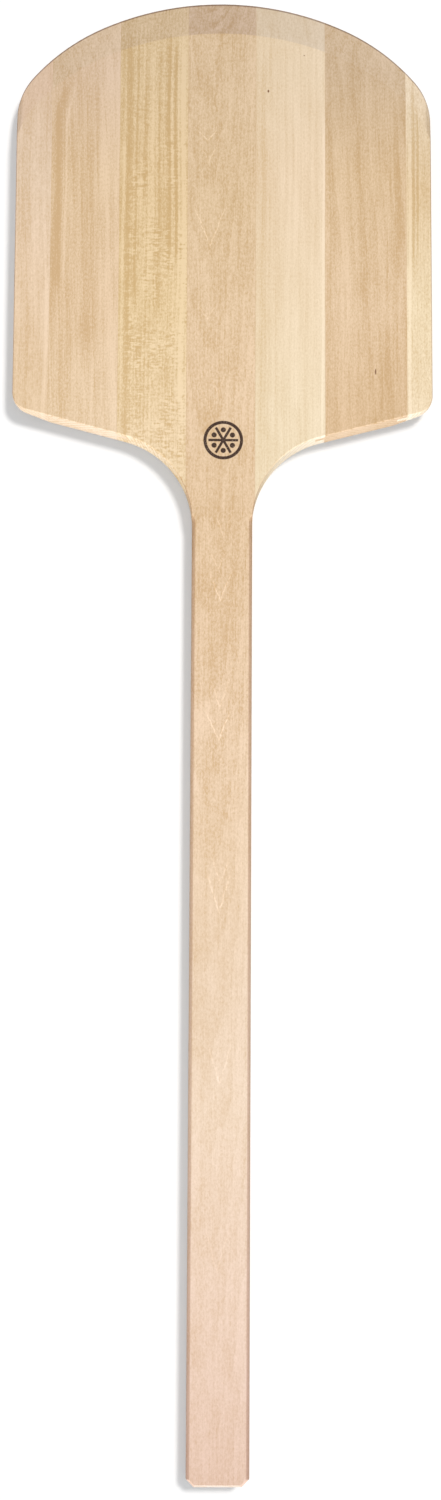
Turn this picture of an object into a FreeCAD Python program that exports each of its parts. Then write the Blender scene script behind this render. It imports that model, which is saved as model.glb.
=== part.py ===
"""Wooden pizza peel: seven edge-glued staves, the middle one running on as the handle.

The peel lies flat with its resting side down. +Y points to the front of the blade, -Y to
the butt of the handle, +X to the right seen from above, +Z up. The origin is at the middle
of the peel's length and width, on the plane that it rests on. All sizes are millimetres
and all angles are degrees.
"""
import FreeCAD
import Part

import math
import os

# Whole peel
OVERALL_LENGTH = 1066.8         # 42 in
BLADE_WIDTH = 304.8             # 12 in
THICKNESS = 19.0                # 3/4 in stock

# Boards of the blade from left to right; the middle one is also the handle
STAVE_WIDTHS = {
    "left_outer_stave": 25.9,
    "left_middle_stave": 50.0,
    "left_inner_stave": 50.0,
    "handle_stave": 50.0,
    "right_inner_stave": 51.0,
    "right_middle_stave": 59.5,
    "right_outer_stave": 18.4,
}

# Tongue-and-groove glue joints; each tongue points towards the middle board
TONGUE_LENGTH = 7.0
TONGUE_STOP = 30.0              # the handle's grooves stop this far in front of the neck's rear end
TONGUE_BOTTOM = 9.5             # height of the tongue's lower face
TONGUE_TOP = 14.5               # height of the tongue's upper face
GLUE_THICKNESS = 0.15

# Rounded front of the blade: on each side a nose arc, a flank arc and a corner arc
NOSE_RADIUS = 212.0
NOSE_ANGLE = 25.0
FLANK_ANGLE = 25.0
CORNER_RADIUS = 48.0

# Shoulders and neck behind the blade
SIDE_END = 300.2                # from the front to the end of the straight sides
SHOULDER_CORNER_RADIUS = 13.0
SHOULDER_SLOPE = 14.6           # off square to the handle
NECK_RADIUS = 66.0

# Handle
HANDLE_WIDTH = 43.5
HANDLE_ROUNDING = 3.5           # radius on the four long edges
ROUTER_RADIUS = 6.5             # the rounding ends where the round cutter was lifted out
BUTT_CORNER = 5.5               # chamfer on the two corners of the butt, in plan
BUTT_EDGE = 1.5                 # chamfer along the upper and lower edges of the butt

# Thinning of the blade
TAPER_LENGTH = 293.0            # the underside rises over this length, up to the front
TAPER_RISE = 8.5
FRONT_BEVEL_WIDTH = 25.0        # the sanded bevel on top of the front edge
FRONT_BEVEL_DROP = 4.0
BEVEL_RUNOUT_ANGLE = 20.0       # part of the corner arc that the bevel follows
SIDE_BEVEL_WIDTH = 27.0         # the bevel under each side edge
SIDE_EDGE_THICKNESS = 6.0
EDGE_BREAK = 0.6                # chamfer that sanding leaves along the sharp edges

MARGIN = 20.0                   # by how much a cutter runs past the wood

FRONT_Y = OVERALL_LENGTH / 2
BUTT_Y = -OVERALL_LENGTH / 2
SHOULDER_Y = FRONT_Y - SIDE_END
SIDE_X = BLADE_WIDTH / 2
HANDLE_X = HANDLE_WIDTH / 2


def sin(angle):
    return math.sin(math.radians(angle))


def cos(angle):
    return math.cos(math.radians(angle))


def flank_radius():
    """Radius that brings the three arcs of the front out at the blade's side."""
    flank_end = NOSE_ANGLE + FLANK_ANGLE
    left_over = SIDE_X - NOSE_RADIUS * sin(NOSE_ANGLE) - CORNER_RADIUS * (1 - sin(flank_end))
    return left_over / (sin(flank_end) - sin(NOSE_ANGLE))


class OutlinePen:
    """Draws lines and arcs end to end at one height; heading 0 is +X, left turns are positive."""

    def __init__(self, x, y, z):
        self.point = FreeCAD.Vector(x, y, z)
        self.heading = 0.0
        self.edges = []

    def ahead(self, distance, angle=0.0):
        """The point at this distance, at this angle to the left of the heading."""
        direction = self.heading + angle
        return self.point + FreeCAD.Vector(cos(direction), sin(direction), 0) * distance

    def line(self, length):
        end = self.ahead(length)
        self.edges.append(Part.LineSegment(self.point, end).toShape())
        self.point = end

    def line_to(self, x, y):
        end = FreeCAD.Vector(x, y, self.point.z)
        self.edges.append(Part.LineSegment(self.point, end).toShape())
        self.point = end

    def arc(self, radius, turn):
        """An arc tangent to the heading, which turns by this angle along it."""
        middle = self.ahead(2 * radius * sin(abs(turn) / 4), turn / 4)
        end = self.ahead(2 * radius * sin(abs(turn) / 2), turn / 2)
        self.edges.append(Part.Arc(self.point, middle, end).toShape())
        self.point = end
        self.heading += turn


def mirrored(shape):
    """The same shape on the other side of the middle plane, left for right."""
    return shape.mirror(FreeCAD.Vector(0, 0, 0), FreeCAD.Vector(1, 0, 0))


def face_of(edges):
    return Part.Face(Part.Wire(Part.__sortEdges__(edges)))


def prism(points, sweep):
    """The solid that a flat polygon makes when it moves along a vector."""
    corners = [FreeCAD.Vector(*point) for point in points]
    return Part.Face(Part.makePolygon(corners + corners[:1])).extrude(FreeCAD.Vector(*sweep))


def plan_face():
    """Outline of the whole peel, seen from above."""
    pen = OutlinePen(0, FRONT_Y, 0)
    pen.arc(NOSE_RADIUS, -NOSE_ANGLE)
    pen.arc(flank_radius(), -FLANK_ANGLE)
    pen.arc(CORNER_RADIUS, NOSE_ANGLE + FLANK_ANGLE - 90)
    pen.line_to(SIDE_X, SHOULDER_Y)
    pen.arc(SHOULDER_CORNER_RADIUS, SHOULDER_SLOPE - 90)
    neck_start_x = HANDLE_X + NECK_RADIUS * (1 - sin(SHOULDER_SLOPE))
    pen.line((pen.point.x - neck_start_x) / cos(SHOULDER_SLOPE))
    pen.arc(NECK_RADIUS, 90 - SHOULDER_SLOPE)
    pen.line_to(HANDLE_X, BUTT_Y + BUTT_CORNER)
    pen.line_to(HANDLE_X - BUTT_CORNER, BUTT_Y)
    pen.line_to(0, BUTT_Y)
    return face_of(pen.edges + [mirrored(edge) for edge in pen.edges])


def neck_end_y():
    """Where the neck's arc meets the straight handle."""
    shoulder_start_x = SIDE_X - SHOULDER_CORNER_RADIUS * (1 - sin(SHOULDER_SLOPE))
    shoulder_start_y = SHOULDER_Y - SHOULDER_CORNER_RADIUS * cos(SHOULDER_SLOPE)
    neck_start_x = HANDLE_X + NECK_RADIUS * (1 - sin(SHOULDER_SLOPE))
    fall = (shoulder_start_x - neck_start_x) * sin(SHOULDER_SLOPE) / cos(SHOULDER_SLOPE)
    return shoulder_start_y - fall - NECK_RADIUS * cos(SHOULDER_SLOPE)


def underside_taper():
    """Wedge that thins the blade from below towards its front."""
    start_y = FRONT_Y - TAPER_LENGTH
    run = TAPER_LENGTH + MARGIN
    rise = TAPER_RISE * run / TAPER_LENGTH
    x = -SIDE_X - MARGIN
    section = [(x, start_y, 0), (x, start_y + run, rise), (x, start_y + run, -MARGIN), (x, start_y, -MARGIN)]
    return prism(section, (BLADE_WIDTH + 2 * MARGIN, 0, 0))


def side_bevel():
    """Wedge that thins the right side edge of the blade from below."""
    start_x = SIDE_X - SIDE_BEVEL_WIDTH
    run = SIDE_BEVEL_WIDTH + MARGIN
    rise = (THICKNESS - SIDE_EDGE_THICKNESS) * run / SIDE_BEVEL_WIDTH
    y = SHOULDER_Y - SIDE_BEVEL_WIDTH - MARGIN
    section = [(start_x, y, 0), (start_x + run, y, rise), (start_x + run, y, -MARGIN), (start_x, y, -MARGIN)]
    return prism(section, (0, FRONT_Y + MARGIN - y, 0))


def front_bevel():
    """Cutter for the sloping band on top of the front edge, as wide in Y all along the edge."""
    pen = OutlinePen(0, FRONT_Y - FRONT_BEVEL_WIDTH, THICKNESS)
    pen.arc(NOSE_RADIUS, -NOSE_ANGLE)
    pen.arc(flank_radius(), -FLANK_ANGLE)
    pen.arc(CORNER_RADIUS, -BEVEL_RUNOUT_ANGLE)
    pen.line(2 * MARGIN)
    pen.line_to(pen.point.x, FRONT_Y + MARGIN)
    pen.line_to(0, FRONT_Y + MARGIN)
    region = face_of(pen.edges + [mirrored(edge) for edge in pen.edges])
    slope = FreeCAD.Vector(0, FRONT_BEVEL_WIDTH, -FRONT_BEVEL_DROP)
    return region.extrude(slope * 2)


def handle_rounding():
    """Cutter for the upper right long edge of the handle, with the cutter's round end."""
    start_y = BUTT_Y - MARGIN
    end_y = neck_end_y()
    corner_x = HANDLE_X - HANDLE_ROUNDING
    corner_z = THICKNESS - HANDLE_ROUNDING
    size = HANDLE_ROUNDING + ROUTER_RADIUS
    length = end_y - start_y
    start = FreeCAD.Vector(corner_x, start_y, corner_z)
    block = Part.makeBox(size, length, size, start)
    rod = Part.makeCylinder(HANDLE_ROUNDING, length, start, FreeCAD.Vector(0, 1, 0))
    straight = block.cut(rod)
    axis = FreeCAD.Vector(corner_x + size, end_y, corner_z)
    disc = Part.makeCylinder(size, size, axis)
    ring = Part.makeTorus(size, HANDLE_ROUNDING, axis)
    return straight.fuse(disc.cut(ring))


def peel_body():
    """The finished outside of the peel as one solid, before it is parted into boards."""
    body = plan_face().extrude(FreeCAD.Vector(0, 0, THICKNESS))
    butt_edges = [
        edge for edge in body.Edges
        if edge.BoundBox.YMax < BUTT_Y + BUTT_CORNER + 1 and edge.BoundBox.ZLength < 1
    ]
    body = body.makeChamfer(BUTT_EDGE, butt_edges)
    for cutter in (underside_taper(), side_bevel(), mirrored(side_bevel()), front_bevel()):
        body = body.cut(cutter)
    body = body.removeSplitter()
    body = body.makeChamfer(EDGE_BREAK, sharp_edges(body))
    return round_handle(body)


def is_upright(face):
    """Whether a face stands square to the plane that the peel rests on."""
    u_start, u_end, v_start, v_end = face.ParameterRange
    normal = face.normalAt((u_start + u_end) / 2, (v_start + v_end) / 2)
    return abs(normal.z) < 1e-6


def sharp_edges(body):
    """The edges above and below the upright sides, from the handle round to the front."""
    uprights = [face for face in body.Faces if is_upright(face)]
    edges = []
    for edge in body.Edges:
        box = edge.BoundBox
        runs_up = box.XLength < 0.01 and box.YLength < 0.01
        at_butt = box.YMax < BUTT_Y + BUTT_CORNER + BUTT_EDGE + 1
        sides = [face for face in uprights if any(edge.isSame(other) for other in face.Edges)]
        if len(sides) == 1 and not runs_up and not at_butt:
            edges.append(edge)
    return edges


def round_handle(body):
    """The body with the four long edges of its handle rounded over."""
    upper_right = handle_rounding()
    middle = FreeCAD.Vector(0, 0, THICKNESS / 2)
    lower_right = upper_right.mirror(middle, FreeCAD.Vector(0, 0, 1))
    for cutter in (upper_right, lower_right):
        body = body.cut(cutter).cut(mirrored(cutter))
    return body


def seam_path(seam_x, pointing, offset):
    """Tongue-and-groove line across the thickness.

    pointing is -1 or 1, the side that the tongue points to. The line is moved by the offset
    away from the board with the tongue, or into it when the offset is negative.
    """
    near = seam_x + pointing * offset
    far = near + pointing * TONGUE_LENGTH
    low = TONGUE_BOTTOM - offset
    high = TONGUE_TOP + offset
    bottom = -MARGIN
    top = THICKNESS + MARGIN
    return [(near, bottom), (near, low), (far, low), (far, high), (near, high), (near, top)]


def across(path_left, path_right):
    """Full-length prism between two lines across the thickness."""
    y = BUTT_Y - MARGIN
    section = [(x, y, z) for x, z in path_left + path_right[::-1]]
    return prism(section, (0, OVERALL_LENGTH + 2 * MARGIN, 0))


def straight_path(x):
    return [(x, -MARGIN), (x, THICKNESS + MARGIN)]


def seams():
    """Place and tongue direction of each glued joint, from left to right."""
    joints = []
    x = -SIDE_X
    for width in list(STAVE_WIDTHS.values())[:-1]:
        x += width
        joints.append((x, -1 if x > 0 else 1))
    return joints


def glue_faces(joint):
    """The two faces of a glue line, left and right."""
    seam_x, pointing = joint
    half = GLUE_THICKNESS / 2
    return seam_path(seam_x, pointing, -pointing * half), seam_path(seam_x, pointing, pointing * half)


def solid_middle():
    """The middle board behind the rear end of its grooves, as a block between its two seams."""
    seam_xs = [x for x, pointing in seams()]
    left = max(x for x in seam_xs if x < 0) + GLUE_THICKNESS / 2
    right = min(x for x in seam_xs if x > 0) - GLUE_THICKNESS / 2
    rear = BUTT_Y - MARGIN
    front = neck_end_y() + TONGUE_STOP
    corner = FreeCAD.Vector(left, rear, -MARGIN)
    return Part.makeBox(right - left, front - rear, THICKNESS + 2 * MARGIN, corner)


def make_pieces():
    """Every board and every glue line, by name."""
    body = peel_body()
    middle = solid_middle()
    films = [glue_faces(joint) for joint in seams()]
    left_paths = [straight_path(-SIDE_X - MARGIN)] + [right for left, right in films]
    right_paths = [left for left, right in films] + [straight_path(SIDE_X + MARGIN)]
    pieces = {}
    for name, left, right in zip(STAVE_WIDTHS, left_paths, right_paths):
        pieces[name] = body.common(across(left, right)).cut(middle)
    for number, (left, right) in enumerate(films, start=1):
        pieces[f"glue_line_{number}"] = body.common(across(left, right)).cut(middle)
    pieces["handle_stave"] = pieces["handle_stave"].fuse(body.common(middle))
    return pieces


def main():
    os.makedirs("parts", exist_ok=True)
    for name, piece in make_pieces().items():
        solid = piece.removeSplitter()
        print(name, len(solid.Solids), "solid", round(solid.Volume), "mm3", solid.isValid())
        solid.exportStep(f"parts/{name}.step")


main()
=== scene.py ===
"""Looks of the wooden pizza peel: seven glued hardwood boards, each with its own grain.

Lengths in the grain's settings are millimetres in the row frame: X across the blade, Y along
the handle to the blade's front, Z up. Blender itself works in metres.
"""
import math

import bpy
from mathutils import Matrix, Vector


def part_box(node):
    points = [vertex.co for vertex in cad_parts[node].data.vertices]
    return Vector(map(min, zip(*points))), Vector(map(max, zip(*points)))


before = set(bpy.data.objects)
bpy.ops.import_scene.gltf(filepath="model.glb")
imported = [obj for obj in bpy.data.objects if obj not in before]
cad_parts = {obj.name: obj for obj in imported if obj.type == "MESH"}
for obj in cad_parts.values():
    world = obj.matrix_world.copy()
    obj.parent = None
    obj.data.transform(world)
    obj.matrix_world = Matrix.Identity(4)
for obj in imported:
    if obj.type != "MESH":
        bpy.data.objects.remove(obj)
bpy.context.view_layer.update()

MM = 0.001
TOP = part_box("handle_stave")[1][2] / MM        # height of the blade's and handle's top face

# The light on a top face brings a surface of this reflectance to white
WHITE_REFLECTANCE = 0.875

# Camera: above the handle side of the middle, a little to the left
CAMERA_PLACE = (-25.0, -239.5, TOP + 1600.0)
CAMERA_TARGET = (-0.4, -27.0, TOP)
CAMERA_ROLL = 0.28
SENSOR = 36.0
LENS = 54.58

# Suns: direction that the light comes from, strength, colour, spread in degrees, shadow or not
KEY_SUN = ((0.38, 0.34, 1.0), 1.70, (1.01, 0.98, 0.955), 12.0, True)
HANDLE_SIDE_FILL = ((-0.17, -0.90, 0.29), 3.5, (1.0, 1.0, 1.0), 24.0, False)
WORLD_COLOUR = (0.975, 1.02, 1.065, 1.0)
WORLD_STRENGTH = 0.335


def linear(value):
    """One sRGB channel, 0 to 255, as linear light."""
    share = value / 255
    return share / 12.92 if share <= 0.04045 else ((share + 0.055) / 1.055) ** 2.4


def seen(red, green, blue):
    """Colour of a surface that looks like this sRGB colour on a face lit from above."""
    return tuple(linear(channel) * WHITE_REFLECTANCE for channel in (red, green, blue)) + (1.0,)


class Nodes:
    """Shader nodes of one material, made by short calls that return a socket."""

    def __init__(self, name):
        self.material = bpy.data.materials.new(name)
        self.material.use_nodes = True
        self.tree = self.material.node_tree
        self.tree.nodes.clear()

    def add(self, kind, **settings):
        node = self.tree.nodes.new(kind)
        for key, value in settings.items():
            setattr(node, key, value)
        return node

    def put(self, socket, value):
        """A socket is linked, anything else is the input's own value."""
        if isinstance(value, bpy.types.NodeSocket):
            self.tree.links.new(value, socket)
        else:
            socket.default_value = value

    def math(self, operation, *values, clamp=False):
        node = self.add("ShaderNodeMath", operation=operation, use_clamp=clamp)
        for socket, value in zip(node.inputs, values):
            self.put(socket, value)
        return node.outputs[0]

    def plus(self, *values):
        total = values[0]
        for value in values[1:]:
            total = self.math("ADD", total, value)
        return total

    def times(self, *values):
        product = values[0]
        for value in values[1:]:
            product = self.math("MULTIPLY", product, value)
        return product

    def vector(self, x, y, z):
        node = self.add("ShaderNodeCombineXYZ")
        for socket, value in zip(node.inputs, (x, y, z)):
            self.put(socket, value)
        return node.outputs[0]

    def stretched(self, place, size, seed=0.0):
        """Coordinates in which one unit is this size along X, Y and Z."""
        node = self.add("ShaderNodeMapping", vector_type="POINT")
        self.put(node.inputs["Vector"], place)
        node.inputs["Location"].default_value = (seed, seed * 1.7, seed * 2.3)
        node.inputs["Scale"].default_value = tuple(1 / length for length in size)
        return node.outputs[0]

    def noise(self, place, size, seed=0.0, detail=2.0, roughness=0.5):
        """Noise around 0, mostly within -0.5 to 0.5, with lumps of about this size."""
        node = self.add("ShaderNodeTexNoise")
        self.put(node.inputs["Vector"], self.stretched(place, size, seed))
        node.inputs["Scale"].default_value = 1.0
        node.inputs["Detail"].default_value = detail
        node.inputs["Roughness"].default_value = roughness
        return self.math("SUBTRACT", node.outputs["Fac"], 0.5)

    def ramp(self, value, stops, smooth=False):
        """Colour or grey by value; stops are (position, colour or number)."""
        node = self.add("ShaderNodeValToRGB")
        node.color_ramp.interpolation = "EASE" if smooth else "LINEAR"
        elements = node.color_ramp.elements
        while len(elements) < len(stops):
            elements.new(0.5)
        for element, (position, colour) in zip(elements, stops):
            element.position = position
            element.color = colour if isinstance(colour, tuple) else (colour, colour, colour, 1.0)
        self.put(node.inputs["Fac"], value)
        return node.outputs["Color"]

    def band(self, value, start, end):
        """0 before start, 1 after end, with a smooth step between; start may be above end."""
        node = self.add("ShaderNodeMapRange", interpolation_type="SMOOTHSTEP", clamp=True)
        low, high = min(start, end), max(start, end)
        self.put(node.inputs["Value"], value)
        node.inputs["From Min"].default_value = low
        node.inputs["From Max"].default_value = high
        node.inputs["To Min"].default_value = 0.0 if start < end else 1.0
        node.inputs["To Max"].default_value = 1.0 if start < end else 0.0
        return node.outputs["Result"]

    def mix(self, share, first, second, blend="MIX"):
        node = self.add("ShaderNodeMix", data_type="RGBA", blend_type=blend)
        self.put(node.inputs[0], share)
        self.put(node.inputs[6], first)
        self.put(node.inputs[7], second)
        return node.outputs[2]

    def tint(self, share, colour, factor):
        """The colour, multiplied by the factor where share is 1."""
        return self.mix(share, colour, self.mix(1.0, colour, factor, "MULTIPLY"))

    def finish(self, **inputs):
        """The surface shader, with its inputs by name and underscores for spaces."""
        shader = self.add("ShaderNodeBsdfPrincipled")
        for key, value in inputs.items():
            self.put(shader.inputs[key.replace("_", " ")], value)
        output = self.add("ShaderNodeOutputMaterial")
        self.tree.links.new(shader.outputs[0], output.inputs["Surface"])
        return self.material


# What is different from board to board. Places and lengths are in millimetres.
# seed: makes the board's noise its own. contrast: how strongly its grain shows.
# bevel: tint of the front bevel, its sanded tone with painted light that evens out its shading.
# end: tint of end grain, if not the usual one.
# along: colour seen from the rear to the front, by Y; the board's own colour with painted shade
# that grows towards the blade's front.
# across: tone from the left seam to the right one, 0 as the colour says, above 0 darker.
# pith: the tree's heart, as X, its depth below the top face at Y 0, and how much deeper it gets
# for each millimetre towards the front.
# ring_gap: distance between growth rings.
# streaks: X, half width, tone, and the Y where a streak fades in and where it fades out. A sixth
# number is how far the streak leans to the right at its front end.
# curl: strength of the ripples of curly grain.
# calm: Y where the figure starts to fade, Y where it has faded, and the share that is left.
# arches: X and Y of a V line's tip, its steepness, half width and strength.
# whorl: X, Y, reach, ring distance and tone of wavy rings.
# specks: X, Y, half width and half length of a small dark knot.
# mark: X and Y of the printed sign.
BOARDS = {
    "left_outer_stave": dict(
        seed=11.0,
        contrast=1.0,
        bevel=(1.16, 1.15, 1.18, 1.0),
        along=[
            (220, (231, 202, 165)), (330, (231, 203, 171)), (400, (226, 200, 171)),
            (470, (217, 189, 160)),
        ],
        across=[0.0, 0.02, -0.02],
        pith=(-230.0, 60.0, 0.02),
        ring_gap=3.4,
        streaks=[
            (-130.5, 1.4, -0.35, 210, 320), (-145.0, 4.0, 0.12, 250, 450),
            (-138.0, 3.0, -0.14, 330, 460),
        ],
    ),
    "left_middle_stave": dict(
        seed=23.0,
        contrast=1.3,
        bevel=(1.10, 1.12, 1.11, 1.0),
        along=[
            (220, (233, 205, 169)), (300, (227, 197, 160)), (400, (223, 194, 157)),
            (480, (215, 187, 157)),
        ],
        across=[0.10, 0.08, 0.0, -0.14],
        pith=(-30.0, 90.0, -0.03),
        ring_gap=4.2,
        streaks=[
            (-121.5, 3.0, 0.44, 310, 466, 9.0), (-116.0, 0.9, -0.40, 330, 458, 7.0),
            (-98.0, 5.0, 0.14, 270, 440),
            (-88.0, 6.0, -0.14, 210, 470), (-107.0, 2.2, -0.14, 250, 420),
            (-104.0, 7.0, 0.16, 265, 300),
            (-78.5, 1.5, -0.14, 210, 500), (-92.5, 1.2, 0.14, 300, 470),
        ],
    ),
    "left_inner_stave": dict(
        seed=37.0,
        contrast=1.5,
        bevel=(1.03, 1.03, 1.10, 1.0),
        along=[
            (200, (235, 208, 167)), (300, (229, 201, 155)), (400, (222, 193, 148)),
            (480, (216, 189, 148)),
        ],
        across=[0.08, 0.0, 0.04, -0.12],
        pith=(-140.0, 25.0, 0.0),
        ring_gap=2.6,
        streaks=[
            (-70.0, 2.0, 0.45, 190, 500), (-64.0, 1.0, 0.40, 300, 500),
            (-73.5, 1.2, -0.30, 230, 420),
            (-40.5, 1.4, 0.38, 330, 500), (-35.5, 1.0, 0.55, 330, 500),
            (-38.0, 0.8, -0.30, 330, 500),
            (-29.8, 1.5, -0.60, 210, 500), (-53.0, 2.0, -0.32, 330, 500),
            (-47.0, 1.2, 0.30, 300, 500),
            (-58.0, 1.0, 0.28, 380, 500), (-33.2, 0.7, -0.35, 300, 500),
        ],
        curl=2.3,
    ),
    "handle_stave": dict(
        seed=41.0,
        contrast=1.45,
        calm=(0, -160, 0.62),
        bevel=(0.95, 0.94, 1.02, 1.0),
        along=[
            (-530, (233, 201, 180)), (-440, (239, 210, 188)), (-362, (242, 215, 191)),
            (-280, (244, 219, 193)),
            (-200, (240, 214, 186)), (-105, (238, 210, 178)), (0, (234, 204, 170)),
            (150, (227, 196, 158)),
            (240, (230, 200, 163)), (380, (221, 192, 153)), (480, (216, 188, 152)),
        ],
        across=[0.0, 0.06, 0.04, -0.10],
        pith=(-11.0, 58.0, -0.045),
        ring_gap=2.9,
        streaks=[],
        arches=[
            (-12.2, 425.7, 1.1, 8.0, 1.0), (-10.0, 344.6, 2.6, 13.0, 0.9),
            (-12.0, 290.0, 1.6, 8.0, 0.5),
            (-9.0, 222.0, 2.0, 9.0, 0.5), (-4.0, 234.0, 2.4, 7.0, 0.4),
            (-11.0, 408.0, 2.4, 9.0, 0.5),
            (-1.0, 81.0, 2.6, 9.0, 0.9), (-3.0, 104.0, 2.2, 6.0, 0.6), (1.0, 128.0, 2.8, 7.0, 0.5),
            (-2.0, -20.0, 2.4, 10.0, 0.9), (-1.0, 4.0, 2.8, 8.0, 0.6),
            (-1.0, -142.0, 3.2, 10.0, 0.8),
            (0.0, -122.0, 3.0, 7.0, 0.5), (0.0, -262.0, 3.6, 10.0, 0.4),
            (-1.0, -390.0, 3.6, 9.0, 0.3),
        ],
        whorl=(-9.0, 530.0, 32.0, 8.5, 0.13),
        end=(0.90, 1.06, 1.14, 1.0),
        mark=(0.5, 199.0),
    ),
    "right_inner_stave": dict(
        seed=53.0,
        contrast=0.8,
        bevel=(1.01, 1.03, 1.09, 1.0),
        along=[
            (200, (242, 222, 188)), (300, (239, 216, 182)), (400, (234, 209, 176)),
            (480, (229, 206, 174)),
        ],
        across=[0.12, 0.04, 0.0, -0.10],
        pith=(160.0, 70.0, 0.01),
        ring_gap=4.6,
        streaks=[
            (73.0, 0.9, -0.40, 200, 440), (29.0, 3.0, 0.16, 200, 480),
            (52.0, 6.0, -0.10, 230, 470),
        ],
        specks=[(32.6, 464.0, 0.7, 1.1), (59.0, 492.0, 0.4, 0.5)],
    ),
    "right_middle_stave": dict(
        seed=67.0,
        contrast=1.3,
        bevel=(1.17, 1.19, 1.23, 1.0),
        along=[
            (200, (220, 187, 146)), (300, (227, 197, 160)), (400, (220, 190, 151)),
            (480, (206, 179, 146)),
        ],
        across=[0.02, -0.04, 0.02, 0.06],
        pith=(40.0, 110.0, 0.03),
        ring_gap=3.8,
        streaks=[
            (118.0, 6.0, 0.22, 210, 290), (88.0, 4.0, -0.18, 200, 420),
            (101.0, 3.0, 0.20, 300, 450),
            (128.0, 2.0, 0.22, 320, 440), (79.0, 2.0, 0.16, 300, 470), (98.0, 3.5, 0.24, 442, 488),
            (120.0, 9.0, -0.35, 482, 540),
        ],
        specks=[(111.0, 251.0, 0.5, 2.2)],
    ),
    "right_outer_stave": dict(
        seed=79.0,
        contrast=1.2,
        bevel=(1.18, 1.18, 1.20, 1.0),
        along=[
            (210, (243, 221, 186)), (300, (240, 218, 180)), (390, (225, 197, 156)),
            (460, (228, 207, 176)),
        ],
        across=[-0.10, 0.06, 0.0],
        pith=(230.0, 40.0, -0.02),
        ring_gap=2.8,
        streaks=[
            (139.0, 0.9, 0.50, 330, 470), (142.0, 0.7, 0.40, 340, 450),
            (136.5, 1.0, -0.40, 210, 430),
            (147.0, 2.0, 0.20, 372, 420),
        ],
    ),
}

TONGUE = 7.0                   # a board's box has this much more on the side of the handle
MARK_RADIUS = 13.2
MARK_LINE = 1.15               # half the width of the ring's and the cuts' lines
KNOT_BROWN = (0.20, 0.095, 0.045, 1.0)
MARK_INK = (0.028, 0.008, 0.004, 1.0)

# Factors on a board's colour
LIGHT_GRAIN = (1.13, 1.16, 1.24, 1.0)
PLAIN_GRAIN = (1.0, 1.0, 1.0, 1.0)
DARK_GRAIN = (0.86, 0.79, 0.67, 1.0)
PALE_LINE = (1.22, 1.26, 1.34, 1.0)
PALE_END = (0.97, 1.02, 1.15, 1.0)
PAINTED_RIM_SHADE = (0.32, 0.24, 0.23, 1.0)
PAINTED_EDGE_SHADE = (0.73, 0.64, 0.61, 1.0)
PAINTED_FRONT_SHADE = (0.60, 0.50, 0.47, 1.0)

# Where the painted shade and the tints on the edges fade in, from the first number to the second
RIM_HEIGHTS = (TOP - 3.70, TOP - 3.82)           # Z, near the lower edge of the front bevel
BEHIND_SHOULDERS = (240, 200)                    # Y
AHEAD_OF_SIDES = (330, 360)                      # Y
BUMP_DEPTH = 0.08 * MM                           # metres


def tone_streaks(nodes, x, y, streaks):
    """Sum of long soft streaks that run with the grain."""
    total = 0.0
    for centre, half_width, tone, start, end, *hook in streaks:
        offset = nodes.math("SUBTRACT", x, centre)
        if hook:
            offset = nodes.plus(offset, nodes.times(nodes.band(y, end - 25, end + 15), -hook[0]))
        aside = nodes.math("ABSOLUTE", offset)
        across = nodes.band(aside, half_width * 1.6, half_width * 0.3)
        fade = nodes.times(nodes.band(y, start - 15, start + 15), nodes.band(y, end + 15, end - 15))
        total = nodes.plus(total, nodes.times(across, fade, tone))
    return total


def growth_rings(nodes, x, y, z, place, look):
    """Place within a growth ring round the tree's heart, from 0 at its inner side to 1."""
    heart_x, depth, sink = look["pith"]
    aside = nodes.math("SUBTRACT", x, heart_x)
    below = nodes.plus(nodes.math("SUBTRACT", z, TOP), depth, nodes.times(y, sink))
    radius = nodes.math("SQRT", nodes.plus(nodes.times(aside, aside), nodes.times(below, below)))
    waver = nodes.plus(
        nodes.times(nodes.noise(place, (9, 55, 9), look["seed"], 3.0), 3.2),
        nodes.times(nodes.noise(place, (2.2, 14, 2.2), look["seed"] + 3, 2.0), 0.7),
    )
    return nodes.math("FRACT", nodes.math("DIVIDE", nodes.plus(radius, waver), look["ring_gap"]))


def curly_figure(nodes, x, y, place, look):
    """Short ripples square to the grain, as where the fibres run in waves."""
    seed = look["seed"]
    dashes = nodes.noise(place, (5.0, 1.5, 5.0), seed + 5, 2.0, 0.45)
    columns = nodes.band(nodes.noise(place, (3.2, 60, 9), seed + 7, 2.0), -0.16, 0.10)
    patches = nodes.band(nodes.noise(place, (30, 26, 9), seed + 9, 1.0), -0.16, 0.10)
    stretch = nodes.plus(nodes.times(nodes.band(y, 460, 330), 0.6), 0.4)
    off_seam = nodes.band(x, -74.0, -66.0)
    return nodes.times(
        dashes, nodes.plus(columns, 0.25), nodes.plus(patches, 0.35), stretch, off_seam,
    )


def whorl(nodes, x, y, place, look):
    """Rings of wavy grain beside a hidden knot."""
    centre_x, centre_y, reach, gap, tone = look["whorl"]
    across = nodes.math("SUBTRACT", x, centre_x)
    along = nodes.times(nodes.math("SUBTRACT", y, centre_y), 0.8)
    radius = nodes.math("SQRT", nodes.plus(nodes.times(across, across), nodes.times(along, along)))
    waver = nodes.times(nodes.noise(place, (9, 9, 9), look["seed"] + 16, 2.0), 5.0)
    wave = nodes.math("SINE", nodes.times(nodes.plus(radius, waver), 2 * math.pi / gap))
    return nodes.times(wave, nodes.band(radius, reach, 0.6 * reach), tone)


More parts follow.
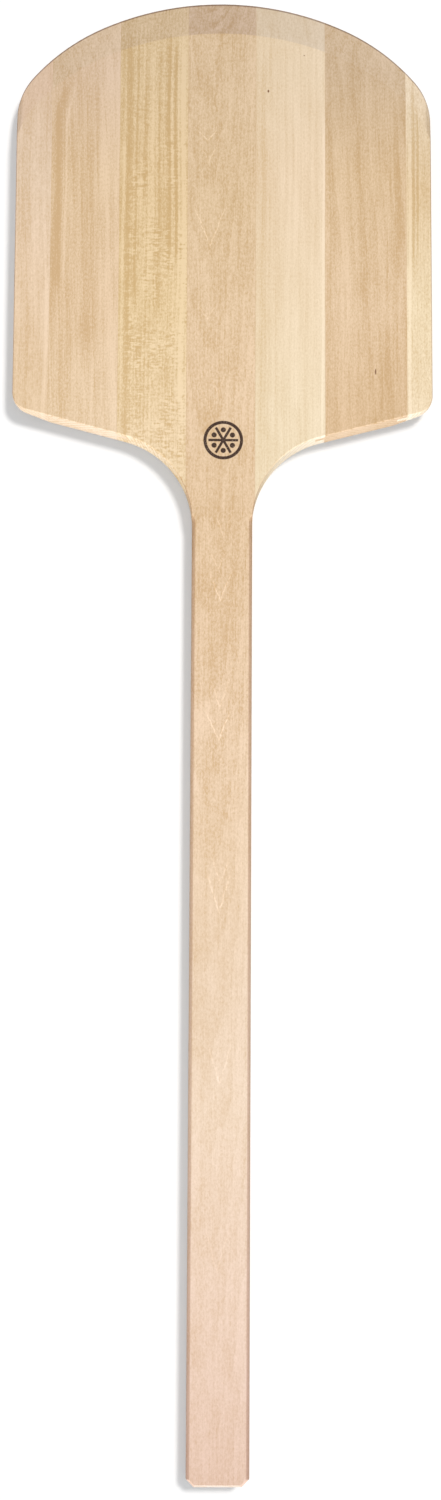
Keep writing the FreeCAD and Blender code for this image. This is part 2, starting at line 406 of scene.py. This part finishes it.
def arches(nodes, x, y, place, look):
    """Thin pale V lines, where the board's face cuts the tips of the growth rings."""
    sway = nodes.times(nodes.noise(place, (5, 8, 5), look["seed"] + 12, 2.0), 3.0)
    swayed = nodes.plus(x, sway)
    lift = nodes.plus(y, nodes.times(nodes.noise(place, (3, 3, 3), look["seed"] + 13, 1.0), 3.0))
    gaps = nodes.band(nodes.noise(place, (2.0, 4.0, 2.0), look["seed"] + 14, 2.0), -0.20, 0.05)
    total = 0.0
    for tip_x, tip_y, steepness, reach, tone in look["arches"]:
        aside = nodes.math("ABSOLUTE", nodes.math("SUBTRACT", swayed, tip_x))
        rise = nodes.math("SUBTRACT", lift, tip_y)
        off = nodes.math("ABSOLUTE", nodes.math("SUBTRACT", rise, nodes.times(aside, steepness)))
        line = nodes.band(off, 0.75 * steepness, 0.2 * steepness)
        line = nodes.times(line, nodes.band(aside, reach, 0.6 * reach))
        total = nodes.plus(total, nodes.times(line, tone))
    return nodes.times(total, gaps)


def pizza_mark(nodes, x, y, centre):
    """A printed sign of a sliced pizza: a ring, six cuts and a topping on each slice."""
    u = nodes.math("SUBTRACT", x, centre[0])
    v = nodes.math("SUBTRACT", y, centre[1])

    def distance(from_u, from_v):
        du, dv = nodes.math("SUBTRACT", u, from_u), nodes.math("SUBTRACT", v, from_v)
        return nodes.math("SQRT", nodes.plus(nodes.times(du, du), nodes.times(dv, dv)))

    radius = distance(0.0, 0.0)
    off_ring = nodes.math("ABSOLUTE", nodes.math("SUBTRACT", radius, MARK_RADIUS))
    mask = nodes.band(off_ring, MARK_LINE + 0.2, MARK_LINE - 0.2)
    inside = nodes.band(radius, MARK_RADIUS - 2.2, MARK_RADIUS - 2.6)
    for step in range(3):
        angle = math.radians(60 * step)
        off_cut = nodes.plus(nodes.times(u, math.sin(angle)), nodes.times(v, -math.cos(angle)))
        cut = nodes.band(nodes.math("ABSOLUTE", off_cut), MARK_LINE, MARK_LINE - 0.4)
        mask = nodes.math("MAXIMUM", mask, nodes.times(cut, inside))
    for step in range(6):
        angle = math.radians(60 * step + 30)
        reach = MARK_RADIUS * 0.58
        spot = nodes.band(distance(reach * math.cos(angle), reach * math.sin(angle)), 2.1, 1.7)
        mask = nodes.math("MAXIMUM", mask, spot)
    return mask


def board_material(name, look):
    """Sanded bare hardwood with the grain of one board."""
    nodes = Nodes(name)
    seed = look["seed"]
    metres = nodes.add("ShaderNodeTexCoord").outputs["Object"]
    scale = nodes.add("ShaderNodeVectorMath", operation="SCALE")
    nodes.put(scale.inputs[0], metres)
    scale.inputs["Scale"].default_value = 1 / MM
    place = scale.outputs[0]
    parts = nodes.add("ShaderNodeSeparateXYZ")
    nodes.put(parts.inputs[0], place)
    flat_x, y, z = parts.outputs

    normal = nodes.add("ShaderNodeSeparateXYZ")
    nodes.put(normal.inputs[0], nodes.add("ShaderNodeNewGeometry").outputs["Normal"])
    end_grain = nodes.band(nodes.math("ABSOLUTE", normal.outputs["Y"]), 0.45, 0.8)
    face_up = nodes.band(normal.outputs["Z"], 0.9, 0.95)

    # The grain wanders a little sideways along the board
    wander = nodes.times(nodes.noise(place, (70, 190, 70), seed, 1.0), 6.0)
    x = nodes.plus(flat_x, wander)
    grain_place = nodes.vector(x, y, z)

    rings = growth_rings(nodes, x, y, z, place, look)
    late_line = nodes.ramp(rings, [(0.0, 0.0), (0.62, 0.35), (0.86, 0.60), (0.93, 0.0), (1.0, 0.0)])
    grain = nodes.noise(grain_place, (1.5, 150, 1.5), seed + 1, 4.0, 0.6)
    fibre = nodes.noise(grain_place, (0.45, 13, 0.45), seed + 2, 2.0)
    mottle = nodes.noise(place, (11, 42, 11), seed + 4, 3.0)
    fleck = nodes.noise(place, (1.1, 2.0, 1.1), seed + 6, 3.0, 0.7)
    pore = nodes.band(nodes.noise(grain_place, (0.32, 4.5, 0.32), seed + 8, 1.0), 0.15, 0.24)

    low, high = (corner[0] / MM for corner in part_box(name))
    if high < 0:
        high -= TONGUE
    elif low > 0:
        low += TONGUE
    share = nodes.math("DIVIDE", nodes.math("SUBTRACT", flat_x, low), high - low, clamp=True)
    steps = look["across"]
    last = len(steps) - 1
    across = nodes.ramp(share, [(i / last, tone + 0.5) for i, tone in enumerate(steps)], True)

    ring_strength = nodes.plus(nodes.times(end_grain, 0.75), 0.28)
    figure = nodes.plus(
        nodes.times(nodes.math("SUBTRACT", late_line, 0.3), ring_strength),
        nodes.times(grain, 0.70),
        nodes.times(fibre, 0.60),
        nodes.times(mottle, 0.60),
        nodes.times(fleck, 1.60),
        nodes.times(pore, 0.16),
    )
    if "calm" in look:
        start, end, share_left = look["calm"]
        calm = nodes.band(y, start, end)
        figure = nodes.times(figure, nodes.plus(1.0, nodes.times(calm, share_left - 1.0)))
    tone = nodes.plus(
        across,
        nodes.times(figure, look["contrast"]),
        tone_streaks(nodes, x, y, look["streaks"]),
    )
    if "whorl" in look:
        tone = nodes.plus(tone, whorl(nodes, flat_x, y, place, look))
    if "curl" in look:
        tone = nodes.plus(tone, nodes.times(curly_figure(nodes, x, y, place, look), look["curl"]))
    shade = nodes.ramp(tone, [(0.0, LIGHT_GRAIN), (0.5, PLAIN_GRAIN), (1.0, DARK_GRAIN)])

    # Colour by Y: the board's own colour, darkened towards the blade's front as painted shade of
    # light falling off
    rear, front = look["along"][0][0], look["along"][-1][0]
    run = nodes.math("DIVIDE", nodes.math("SUBTRACT", y, rear), front - rear, clamp=True)
    stops = [((at - rear) / (front - rear), seen(*colour)) for at, colour in look["along"]]
    colour = nodes.mix(1.0, nodes.ramp(run, stops), shade, "MULTIPLY")
    if "arches" in look:
        pale = nodes.times(arches(nodes, flat_x, y, place, look), face_up)
        colour = nodes.tint(pale, colour, PALE_LINE)
    for speck_x, speck_y, half_width, half_length in look.get("specks", ()):
        du = nodes.math("DIVIDE", nodes.math("SUBTRACT", flat_x, speck_x), half_width)
        dv = nodes.math("DIVIDE", nodes.math("SUBTRACT", y, speck_y), half_length)
        speck = nodes.band(nodes.plus(nodes.times(du, du), nodes.times(dv, dv)), 1.5, 0.3)
        colour = nodes.mix(nodes.times(speck, face_up), colour, KNOT_BROWN)

    # Painted shade darkens rounded and bevelled edges turned sideways or forwards, more where they
    # face the blade's front; the front bevel's tint is sanded tone with painted light, its rim has
    # painted shade, end grain is paler
    upright = nodes.math("ABSOLUTE", normal.outputs["Z"])
    aside = nodes.math("ABSOLUTE", normal.outputs["X"])
    behind = nodes.band(y, *BEHIND_SHOULDERS)
    ahead = nodes.band(y, *AHEAD_OF_SIDES)
    # Painted shade on rounded and bevelled edges that turn sideways or forwards, away from the
    # light
    rounded = nodes.times(nodes.band(aside, 0.22, 0.42), behind)
    turned = nodes.math("MAXIMUM", nodes.band(upright, 0.96, 0.80), rounded)
    edge_shade = nodes.times(nodes.band(upright, 0.08, 0.4), turned)
    edge_shade = nodes.times(edge_shade, nodes.band(normal.outputs["Y"], -0.55, -0.25))
    colour = nodes.tint(nodes.times(edge_shade, 0.85), colour, PAINTED_EDGE_SHADE)
    # More painted shade on the edges that face the blade's front, away from the fill light
    front_shade = nodes.times(edge_shade, nodes.band(normal.outputs["Y"], 0.15, 0.40))
    colour = nodes.tint(front_shade, colour, PAINTED_FRONT_SHADE)
    # Tint of the front bevel: partly its sanded tone, partly painted light that evens its shading
    # against the top face
    bevel = nodes.times(nodes.band(upright, 0.90, 0.93), nodes.band(upright, 0.997, 0.991), ahead)
    colour = nodes.tint(bevel, colour, look["bevel"])
    # A thin line of painted shade along the lower rim of the front bevel
    rim_shade = nodes.times(nodes.band(z, *RIM_HEIGHTS), bevel)
    colour = nodes.tint(nodes.times(rim_shade, 0.8), colour, PAINTED_RIM_SHADE)
    colour = nodes.tint(end_grain, colour, look.get("end", PALE_END))

    if "mark" in look:
        worn = nodes.band(nodes.noise(place, (0.7, 0.7, 0.7), seed + 15, 2.0), -0.30, -0.10)
        printed = nodes.times(pizza_mark(nodes, flat_x, y, look["mark"]), face_up, worn)
        colour = nodes.mix(nodes.times(printed, 0.97), colour, MARK_INK)

    height = nodes.plus(
        nodes.times(grain, 0.5),
        nodes.times(fibre, 0.5),
        nodes.times(pore, -0.6),
        nodes.times(fleck, 0.2),
    )
    bump = nodes.add("ShaderNodeBump")
    bump.inputs["Strength"].default_value = 0.25
    bump.inputs["Distance"].default_value = BUMP_DEPTH
    nodes.put(bump.inputs["Height"], height)
    roughness = nodes.math("ADD", 0.56, nodes.times(tone, 0.16), clamp=True)
    return nodes.finish(
        Base_Color=colour,
        Roughness=roughness,
        Specular_IOR_Level=0.30,
        Normal=bump.outputs[0],
    )


def glue_material():
    """Cured wood glue: a pale brown line with soft breaks in its tone. Lengths here are metres."""
    nodes = Nodes("cured_glue")
    place = nodes.add("ShaderNodeTexCoord").outputs["Object"]
    break_up = nodes.noise(place, (0.002, 0.03, 0.002), 5.0, 3.0)
    stops = [(0.3, seen(196, 158, 116)), (0.7, seen(222, 190, 150))]
    colour = nodes.ramp(nodes.plus(break_up, 0.5), stops)
    return nodes.finish(Base_Color=colour, Roughness=0.5)


def dress(node, material):
    """Gives every slot of a CAD node this material."""
    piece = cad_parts[node]
    for slot in piece.material_slots:
        slot.material = material


def look_at(place, target, roll):
    """Matrix of a camera at place that looks at target, turned by roll degrees."""
    place, target = Vector(place) * MM, Vector(target) * MM
    back = (place - target).normalized()
    right = Vector((0, 1, 0)).cross(back).normalized()
    up = back.cross(right)
    turn = Matrix.Rotation(math.radians(roll), 3, back)
    right, up = turn @ right, turn @ up
    matrix = Matrix((right, up, back)).transposed().to_4x4()
    matrix.translation = place
    return matrix


def add_camera():
    data = bpy.data.cameras.new("camera")
    data.sensor_width = SENSOR
    data.lens = LENS
    data.clip_end = 50.0
    camera = bpy.data.objects.new("camera", data)
    camera.matrix_world = look_at(CAMERA_PLACE, CAMERA_TARGET, CAMERA_ROLL)
    bpy.context.scene.collection.objects.link(camera)
    bpy.context.scene.camera = camera


def add_sun(name, direction, strength, colour, spread, casts_shadow):
    """A broad soft light from this direction; one without shadow also leaves no bounce or glint."""
    data = bpy.data.lights.new(name, "SUN")
    data.energy = strength
    data.color = colour
    data.angle = math.radians(spread)
    data.use_shadow = casts_shadow
    if not casts_shadow:
        data.cycles.max_bounces = 0
    light = bpy.data.objects.new(name, data)
    light.visible_glossy = casts_shadow
    light.rotation_euler = Vector(direction).to_track_quat("Z", "Y").to_euler()
    bpy.context.scene.collection.objects.link(light)


def add_world():
    world = bpy.data.worlds.new("studio")
    world.use_nodes = True
    background = world.node_tree.nodes["Background"]
    background.inputs["Color"].default_value = WORLD_COLOUR
    background.inputs["Strength"].default_value = WORLD_STRENGTH
    bpy.context.scene.world = world


def add_floor():
    """Pale floor that the peel lies on."""
    half = 40.0                # metres
    low = -0.0003              # just under the peel, so that the two faces don't coincide
    mesh = bpy.data.meshes.new("floor")
    corners = [(-half, -half, low), (half, -half, low), (half, half, low), (-half, half, low)]
    mesh.from_pydata(corners, [], [(0, 1, 2, 3)])
    floor = bpy.data.objects.new("floor", mesh)
    bpy.context.scene.collection.objects.link(floor)
    nodes = Nodes("floor")
    place = nodes.add("ShaderNodeTexCoord").outputs["Object"]
    cloud = nodes.noise(place, (0.8, 0.8, 0.8), 2.0)
    tint = nodes.ramp(nodes.plus(cloud, 0.5), [(0.2, 0.915), (0.8, 0.925)])
    mesh.materials.append(nodes.finish(Base_Color=tint, Roughness=0.9, Specular_IOR_Level=0.1))


for board, look in BOARDS.items():
    dress(board, board_material(board, look))
glue = glue_material()
for number in range(1, 7):
    dress(f"glue_line_{number}", glue)

add_floor()
add_world()
add_sun("key", *KEY_SUN)
add_sun("handle_side_fill", *HANDLE_SIDE_FILL)
add_camera()
bpy.context.scene.view_settings.view_transform = "Standard"
